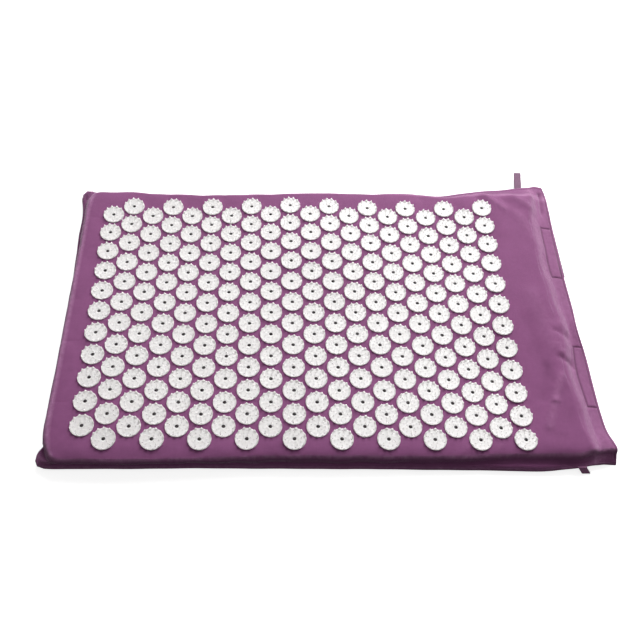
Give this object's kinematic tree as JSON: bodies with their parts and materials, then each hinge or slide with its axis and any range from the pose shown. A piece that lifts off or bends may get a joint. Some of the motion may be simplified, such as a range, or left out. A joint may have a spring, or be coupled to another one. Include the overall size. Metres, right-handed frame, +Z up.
{
  "type": "acupressure mat",
  "caption": "Foam slab in a cotton slip cover with staggered plastic spike discs on its top, a hook-and-loop mouth and two hanging loops.",
  "frame": {"origin": "on the floor, under the middle of the foam slab, on the flat underside of the cover", "axes": "+X along the mat from its closed end to the mouth of the cover, +Y from the front to the back, +Z up"},
  "size_m": [0.6864, 0.49, 0.0342],
  "materials": {
    "cover_cotton": "matte",
    "cotton_tape": "matte",
    "hook_and_loop": "matte",
    "foam": "matte",
    "spike_plastic": "satin"
  },
  "bodies": {
    "mat": {"foam_core": "foam", "cover_top_panel": "cover_cotton", "cover_bottom_panel": "cover_cotton", "loop_tape_far": "hook_and_loop", "loop_tape_near": "hook_and_loop", "disc_column_01": "spike_plastic", "disc_column_02": "spike_plastic", "disc_column_03": "spike_plastic", "disc_column_04": "spike_plastic", "disc_column_05": "spike_plastic", "disc_column_06": "spike_plastic", "disc_column_07": "spike_plastic", "disc_column_08": "spike_plastic", "disc_column_09": "spike_plastic", "disc_column_10": "spike_plastic", "disc_column_11": "spike_plastic", "disc_column_12": "spike_plastic", "disc_column_13": "spike_plastic", "disc_column_14": "spike_plastic", "disc_column_15": "spike_plastic", "disc_column_16": "spike_plastic", "disc_column_17": "spike_plastic", "disc_column_18": "spike_plastic", "disc_column_19": "spike_plastic", "disc_column_20": "spike_plastic"},
    "mouth_lip": {"closure_flap": "cover_cotton", "hook_tape_far": "hook_and_loop", "hook_tape_near": "hook_and_loop"},
    "far_loop": {"hanging_loop_far": "cotton_tape"},
    "near_loop": {"hanging_loop_near": "cotton_tape"}
  },
  "joints": [
    {"name": "mouth_lip_hinge", "type": "hinge", "parent": "mat", "child": "mouth_lip", "pos_m": [0.3213, 0, 0.0246], "axis": [0, -1, 0], "range_deg": [0, 70]},
    {"name": "far_loop_hinge", "type": "hinge", "parent": "mat", "child": "far_loop", "pos_m": [0.3063, 0.23623, 0.01], "axis": [1, 0, 0], "range_deg": [0, 92]},
    {"name": "near_loop_hinge", "type": "hinge", "parent": "mat", "child": "near_loop", "pos_m": [0.3063, -0.2151, 0.01], "axis": [-1, 0, 0], "range_deg": [0, 140]}
  ]
}
